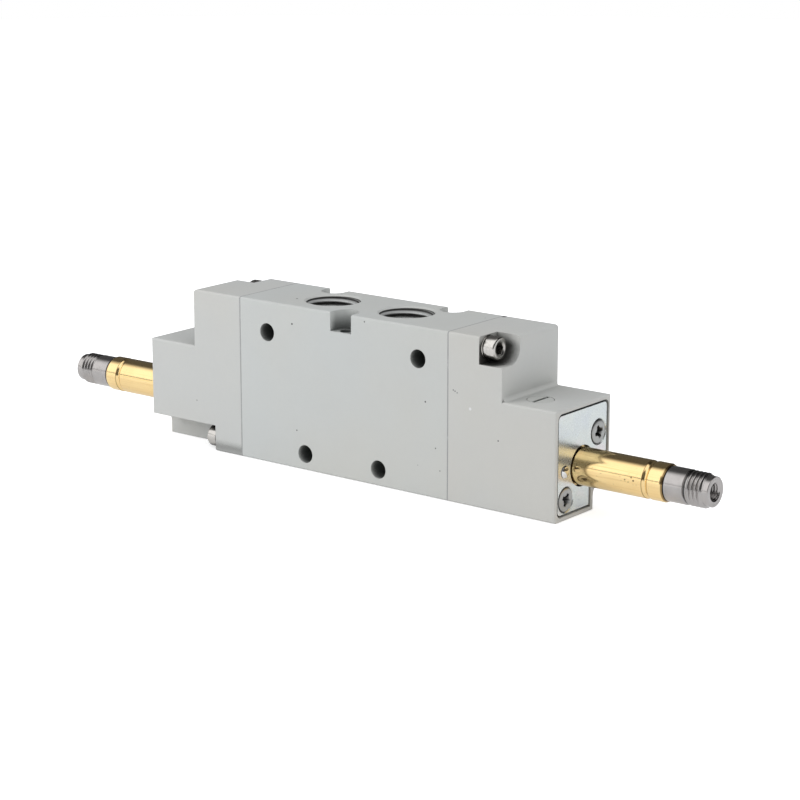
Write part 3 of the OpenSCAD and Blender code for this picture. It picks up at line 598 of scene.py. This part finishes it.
def port_thread_root_shade(n):
    """Mask of painted shade at the root of the port threads, by the distance from the nearest port's axis."""
    x, y, z = n.apart(n.place())
    upper = n.math("MULTIPLY", n.math("GREATER_THAN", z, BODY_H / 2), PORT_PITCH / 2)
    along = n.math("WRAP", n.math("ADD", x, upper), PORT_PITCH / 2, -PORT_PITCH / 2)
    return n.remap(n.hypotenuse(along, y), PORT_R - 0.38 * MM, PORT_R - 0.08 * MM, 0.0, 0.93)


# Port threads, with strong painted shade deep in the ports and at the threads' roots
CUT_THREAD = turned_metal("cut port thread", (0.58, 0.59, 0.58, 1), 0.42, ring=0.2, bump=0.1, reach=9,
                          start=0.66, full=0.38, strength=0.98, metallic=0.4, root=port_thread_root_shade)

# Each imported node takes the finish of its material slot
for entry in frame["record"]["subparts"]:
    node = frame["nodes"][entry["node"]]
    for s in node.material_slots:
        s.material = FINISH[entry["material_slot"]]


# How a mesh becomes a piece

def dress(name, mesh, slot_name, body="valve_body", crease=35, finish=None):
    """Makes a piece of a mesh, finished and riding on a body, smooth but for edges over crease degrees."""
    mesh.materials.clear()
    mesh.materials.append(finish or FINISH[slot_name])
    mesh.polygons.foreach_set("use_smooth", [True] * len(mesh.polygons))
    mesh.set_sharp_from_angle(angle=math.radians(crease))
    piece = bpy.data.objects.new(name, mesh)
    SCENE.collection.objects.link(piece)
    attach(piece, body)
    return piece


def to_mesh(name, bm):
    """A mesh of that name with its faces turned outwards."""
    bmesh.ops.recalc_face_normals(bm, faces=bm.faces)
    mesh = bpy.data.meshes.new(name)
    bm.to_mesh(mesh)
    bm.free()
    return mesh


# Threads

def thread(name, start, axis, wall_r, crest_r, pitch, length, slot_name, turn_steps=56, finish=None):
    """A screw thread on a wall of radius wall_r, outside it if crest_r is larger, else inside it.

    It runs length along axis from start, and dies away into the wall at both ends."""
    axis = Vector(axis).normalized()
    side = axis.orthogonal().normalized()
    other = axis.cross(side)
    start = Vector(start)
    depth = crest_r - wall_r
    hidden_r = wall_r - math.copysign(0.12 * MM, depth)
    root_r = wall_r + math.copysign(0.015 * MM, depth)
    fade_length = 0.35 * pitch
    rows_per_turn = 12
    rows = int(round(length / pitch * rows_per_turn))
    bm = bmesh.new()

    def ring_at(x, radius_of):
        row = []
        for k in range(turn_steps):
            a = 2 * math.pi * k / turn_steps
            r = radius_of(a)
            row.append(bm.verts.new(start + axis * x + side * (r * math.cos(a)) + other * (r * math.sin(a))))
        return row

    def flank(x):
        fade = min(1.0, x / fade_length, (length - x) / fade_length)

        def radius(a):
            phase = (x / pitch - a / (2 * math.pi)) % 1.0
            wave = 1 - abs(2 * phase - 1)
            # Straight flanks between a flat root and a flat crest
            ridge = min(1.0, max(0.0, wave * 1.35 - 0.15))
            return root_r + (crest_r - root_r) * ridge * max(0.0, fade)
        return radius

    loops = [ring_at(0, lambda a: hidden_r)]
    loops += [ring_at(length * i / rows, flank(length * i / rows)) for i in range(rows + 1)]
    loops.append(ring_at(length, lambda a: hidden_r))
    loops.append(loops[0])
    for a, b in zip(loops, loops[1:]):
        for k in range(turn_steps):
            m = (k + 1) % turn_steps
            bm.faces.new((a[k], a[m], b[m], b[k]))
    return dress(name, to_mesh(name, bm), slot_name, crease=60, finish=finish)


PORTS = [("port_1", 0, 0), ("port_3", -PORT_PITCH, 0), ("port_5", PORT_PITCH, 0),
         ("port_2", PORT_PITCH / 2, BODY_H), ("port_4", -PORT_PITCH / 2, BODY_H)]
for port_name, x, z in PORTS:
    inward = 1 if z == 0 else -1
    thread(port_name + "_thread", (x, 0, z + inward * 0.45 * MM), (0, 0, inward), PORT_R, PORT_CREST_R,
           PORT_THREAD_PITCH, length=9.3 * MM, slot_name="cast_body", turn_steps=72, finish=CUT_THREAD)

for end_name, end in ENDS:
    thread(end_name + "_coil_thread", (end * (THREAD_X + 0.1 * MM), 0, TUBE_Z), (end, 0, 0),
           PLUG_ROOT_R, PLUG_CREST_R, PLUG_THREAD_PITCH, length=4.5 * MM, slot_name="plug_steel")
    thread(end_name + "_exhaust_thread", (end * (NOSE_X - 6.95 * MM), 0, TUBE_Z), (end, 0, 0),
           EXHAUST_R, EXHAUST_CREST_R, EXHAUST_THREAD_PITCH, length=6.72 * MM, slot_name="plug_steel",
           turn_steps=40)


# Turned shapes, and where the screws are

# Outlines are (distance outwards along X, radius) in millimetres, from one pole to the other.
# The cap screws' and washers' distances start at the seam, the others at the face they sit in.
CAP_SCREW = [(-4.6, 0), (-4.6, 1.0), (-4.4, 1.23), (0, 1.23), (0, 1.45), (9.4, 1.45), (9.4, 2.4),
             (9.62, 2.73), (9.8, 2.75), (12.0, 2.75), (12.2, 2.68), (12.34, 2.52), (12.4, 2.3), (12.4, 0)]
HEXAGON_SOCKET = [(10.8, 0), (10.8, 1.443), (12.9, 1.443), (12.9, 0)]
SOCKET_CHAMFER = [(11.9, 0), (12.0, 1.1), (12.5, 1.92), (12.5, 0)]
WASHER = [(8.9, 1.6), (8.9, 2.72), (9.0, 2.83), (9.15, 2.85), (9.28, 2.82), (9.38, 2.7), (9.4, 1.6)]
PLATE_SCREW = [(-8, 0), (-8, 0.9), (-7.5, 1.25), (-2, 1.25), (-2, 1.5), (-1.5, 1.5), (-0.22, 2.86),
               (-0.06, 2.72)]
CROSS_POINT = [(0.6, 0), (0.6, 1.25), (-1.3, 0.6), (-1.5, 0)]
COIL_PIN = [(-0.9, 0), (-0.9, 0.78), (0, 0.78), (0.01, 1.38), (0.12, 1.5), (0.3, 1.3), (0.56, 0.7), (0.7, 0)]
EXHAUST_MOUTH = [(-1.0, 2.1), (-1.0, 1.99), (-0.24, 1.99), (-0.03, 2.2), (-0.01, 2.25), (-0.01, 2.92),
                 (-0.9, 2.04)]


def turned(bm, outline, place, end, steps=64):
    """Adds a solid of revolution round X to a mesh. An outline with no poles gives a ring."""
    rows = []
    for x, r in outline:
        x, r = x * MM, r * MM
        if r == 0:
            rows.append([bm.verts.new(place + Vector((end * x, 0, 0)))])
        else:
            rows.append([bm.verts.new(place + Vector((end * x, r * math.cos(a), r * math.sin(a))))
                         for a in (2 * math.pi * k / steps for k in range(steps))])
    if len(rows[0]) > 1:
        rows.append(rows[0])
    for a, b in zip(rows, rows[1:]):
        for k in range(steps):
            m = (k + 1) % steps
            ring = [a[k % len(a)], a[m % len(a)], b[m % len(b)], b[k % len(b)]]
            ring = [v for i, v in enumerate(ring) if v not in ring[:i]]
            bm.faces.new(ring)


def crosswise(x, y, centre_z, rise):
    """Four places as (place, end): one above and one below at each end, on opposite sides."""
    return [(Vector((end * x, end * side * y, centre_z + side * rise)), end)
            for end in (1, -1) for side in (1, -1)]


def scratch_solid(name, bm):
    """An object that only serves to cut or be cut."""
    solid = bpy.data.objects.new(name, to_mesh(name, bm))
    SCENE.collection.objects.link(solid)
    return solid


def cut(solid, cutters):
    """The mesh of a solid less its cutters; all of them are removed."""
    for cutter in cutters:
        knife = solid.modifiers.new("cut", "BOOLEAN")
        knife.operation = "DIFFERENCE"
        knife.solver = "EXACT"
        knife.object = cutter
    bpy.context.view_layer.update()
    mesh = bpy.data.meshes.new_from_object(solid.evaluated_get(bpy.context.evaluated_depsgraph_get()))
    for obj in [solid] + cutters:
        bpy.data.objects.remove(obj)
    return mesh


# Exhausts, overrides and springs

def exhaust_mouth(end_name, end):
    """Ring that fills most of the flare at a plug's exhaust, so that its end is flat and wide."""
    bm = bmesh.new()
    turned(bm, EXHAUST_MOUTH, Vector((end * NOSE_X, 0, TUBE_Z)), end)
    name = end_name + "_exhaust_mouth"
    dress(name, to_mesh(name, bm), "plug_steel")


def turned_slot(end_name, end):
    """The override with its head turned so that the slot lies across the valve, as in the photograph."""
    mesh = frame["nodes"][end_name + "_override"].data.copy()
    old_normals = mesh.attributes.get("custom_normal")
    if old_normals:
        mesh.attributes.remove(old_normals)
    axis = Vector((end * OVERRIDE_X, -end * OVERRIDE_Y, 0))
    rotation = Matrix.Rotation(math.radians(SLOT_TURN), 4, "Z")
    turn = Matrix.Translation(axis) @ rotation @ Matrix.Translation(-axis)
    for v in mesh.vertices:
        if v.co.z > OVERRIDE_HEAD_Z:
            v.co = turn @ v.co
    piece = dress(end_name + "_override_screw", mesh, "override_metal", body=end_name + "_lever")
    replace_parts(piece, end_name + "_override")


def shortening_spring(end_name):
    """The return spring, given a mesh of its own."""
    spring = frame["nodes"][end_name + "_spring"]
    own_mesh(spring)


# Plate screws, coil pins, cap screws and washers

def driver_wing(bm, place, end, turn, half_l=1.75 * MM, half_w=0.5 * MM, top=0.6 * MM, depth=1.4 * MM):
    """One bar of a cross recess, narrower and shorter at its bottom."""
    corners = []
    for x, length_share, width_share in ((top, 1.0, 1.0), (-depth, 0.5, 0.7)):
        for u, v in ((-1, -1), (1, -1), (1, 1), (-1, 1)):
            y, z = u * half_l * length_share, v * half_w * width_share
            corners.append(bm.verts.new(place + Vector((
                end * x, y * math.cos(turn) - z * math.sin(turn), y * math.sin(turn) + z * math.cos(turn)))))
    for f in ((0, 1, 2, 3), (7, 6, 5, 4), (0, 4, 5, 1), (1, 5, 6, 2), (2, 6, 7, 3), (3, 7, 4, 0)):
        bm.faces.new([corners[i] for i in f])


def domed(x, rim_r, height, steps=5):
    """The end of an outline: a low dome from its rim to its pole."""
    return [(x + height * math.sin(a), rim_r * math.cos(a)) for a in
            (math.pi / 2 * k / steps for k in range(1, steps))] + [(x + height, 0)]


def plate_screws():
    """Countersunk screws with low domed heads and cross recesses, in place of the plain ones."""
    heads, bars, cores = bmesh.new(), [bmesh.new(), bmesh.new()], bmesh.new()
    places = crosswise(PLATE_X, PLATE_SCREW_Y, TUBE_Z, PLATE_SCREW_RISE)
    for (place, end), cross_turn in zip(places, CROSS_TURNS):
        turned(heads, PLATE_SCREW + domed(-0.05, 2.66, 0.22), place, end)
        for bm, quarter in zip(bars, (0, math.pi / 2)):
            driver_wing(bm, place, end, math.radians(cross_turn) + quarter)
        turned(cores, CROSS_POINT, place, end, steps=16)
    screws = scratch_solid("screw_blanks", heads)
    cutters = [scratch_solid("bar", bm) for bm in bars] + [scratch_solid("core", cores)]
    piece = dress("plate_screw_heads", cut(screws, cutters), "zinc_screw")
    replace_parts(piece, "plate_screws")


def coil_pins():
    """Bright pins that locate a coil, with faceted, star-like heads."""
    bm = bmesh.new()
    for end in (1, -1):
        turned(bm, COIL_PIN, Vector((end * PLATE_X, -end * COIL_PIN_Y, TUBE_Z)), end, steps=9)
    piece = dress("coil_pin_heads", to_mesh("coil_pin_heads", bm), "pin_steel", crease=15)
    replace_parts(piece, "coil_pins")


def cap_screws():
    """Socket head screws with rounded rims and chamfered sockets, and washers with rounded edges."""
    blanks, sockets, chamfers, rings = (bmesh.new() for i in range(4))
    for place, end in crosswise(SEAM_X, -CAP_SCREW_Y, BODY_H / 2, CAP_SCREW_RISE):
        turned(blanks, CAP_SCREW, place, end)
        turned(sockets, HEXAGON_SOCKET, place, end, steps=6)
        turned(chamfers, SOCKET_CHAMFER, place, end, steps=32)
        turned(rings, WASHER, place, end)
    heads = cut(scratch_solid("cap_screw_blanks", blanks),
                [scratch_solid("hexagons", sockets), scratch_solid("chamfers", chamfers)])
    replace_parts(dress("cap_screw_heads", heads, "cap_screw_steel"), "cap_screws")
    washers = dress("cap_screw_rings", to_mesh("cap_screw_rings", rings), "washer")
    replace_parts(washers, "cap_screw_washers")


plate_screws()
coil_pins()
cap_screws()
for end_name, end in ENDS:
    exhaust_mouth(end_name, end)
    turned_slot(end_name, end)
    shortening_spring(end_name)


# Light and floor

def lamp(name, place, size, power):
    """A soft lamp on the valve that metal doesn't mirror; size is (width, height), the width level."""
    data = bpy.data.lights.new(name, "AREA")
    data.shape = "RECTANGLE"
    data.size, data.size_y = size
    data.energy = power
    obj = bpy.data.objects.new(name, data)
    SCENE.collection.objects.link(obj)
    obj.visible_glossy = False
    back = (Vector(place) - MIDDLE).normalized()
    right = Vector((0, 0, 1)).cross(back).normalized()
    obj.matrix_world = facing(place, right, back.cross(right), back)


lamp("key_lamp", place=(-0.35, -0.44, 0.26), size=(0.25, 0.22), power=1.05)
lamp("side_lamp", place=(1.0, -0.3, 0.5), size=(0.5, 0.5), power=2.1)


def studio_world():
    """White to the eye. Mirrors see a bright studio in front and to the left, a dark one behind and to the
    right with a soft box high up on the right, and a pale table below."""
    world = bpy.data.worlds.new("studio")
    world.use_nodes = True
    SCENE.world = world
    n = Nodes(world.node_tree)
    shader = world.node_tree.nodes["Background"].inputs
    side, across, height = n.apart(n.add("ShaderNodeTexCoord").outputs["Generated"])
    front = n.math("MULTIPLY", n.remap(across, 0.19, -0.29, 0.10, 1.45), n.remap(side, 0.45, 0.1, 0.1, 1.0))
    # A dark band a little above the table, which gives the metal its dark line
    horizon = n.remap(n.math("ABSOLUTE", n.math("SUBTRACT", height, 0.16)), 0.018, 0.045, 0.12, 1.0)
    overhead = n.math("MULTIPLY", n.remap(side, 0.22, 0.42), n.remap(height, 0.60, 0.74))
    overhead = n.math("MULTIPLY", overhead, n.remap(across, 0.40, 0.22))
    above = n.math("MULTIPLY_ADD", overhead, 1.3, n.math("MULTIPLY", front, horizon))
    mirrored = n.mix(n.remap(height, 0.02, -0.02), n.even(above), grey(0.8))
    # What lights the matt surfaces: a dome that is bright from well above the horizon
    ramp = n.add("ShaderNodeValToRGB")
    n.put(ramp.inputs[0], n.math("MULTIPLY_ADD", height, 0.5, 0.5))
    for i, (position, level) in enumerate(((0.0, 0.36), (0.62, 0.36), (0.72, 0.86), (1.0, 0.86))):
        e = ramp.color_ramp.elements[i] if i < 2 else ramp.color_ramp.elements.new(position)
        e.position = position
        e.color = (level * 0.99, level * 1.005, level * 1.03, 1)
    rays = n.add("ShaderNodeLightPath").outputs
    seen = n.mix(rays["Is Glossy Ray"], ramp.outputs[0], mirrored)
    n.put(shader["Color"], n.mix(rays["Is Camera Ray"], seen, grey(1.0)))


studio_world()


def floor():
    """A white table that the eye sees glow with distance, so that it has no edge."""
    bm = bmesh.new()
    bmesh.ops.create_circle(bm, cap_ends=True, segments=96, radius=1.2)
    mesh = bpy.data.meshes.new("floor")
    bm.to_mesh(mesh)
    bm.free()
    m, n, shader = material("white table")
    shader["Base Color"].default_value = grey(0.9)
    shader["Roughness"].default_value = 0.9
    rays = n.add("ShaderNodeLightPath").outputs
    far = n.remap(n.vector("LENGTH", n.place(), out=1), 0.15, 0.6, 0.55, 0.8)
    glow = n.math("MULTIPLY_ADD", rays["Is Glossy Ray"], 0.18, n.math("MULTIPLY", rays["Is Camera Ray"], far))
    shader["Emission Color"].default_value = grey(1.0)
    n.put(shader["Emission Strength"], glow)
    mesh.materials.append(m)
    obj = bpy.data.objects.new("floor", mesh)
    SCENE.collection.objects.link(obj)
    obj.location = (0, 0, -0.1 * MM)


floor()
SCENE.view_settings.view_transform = "Standard"
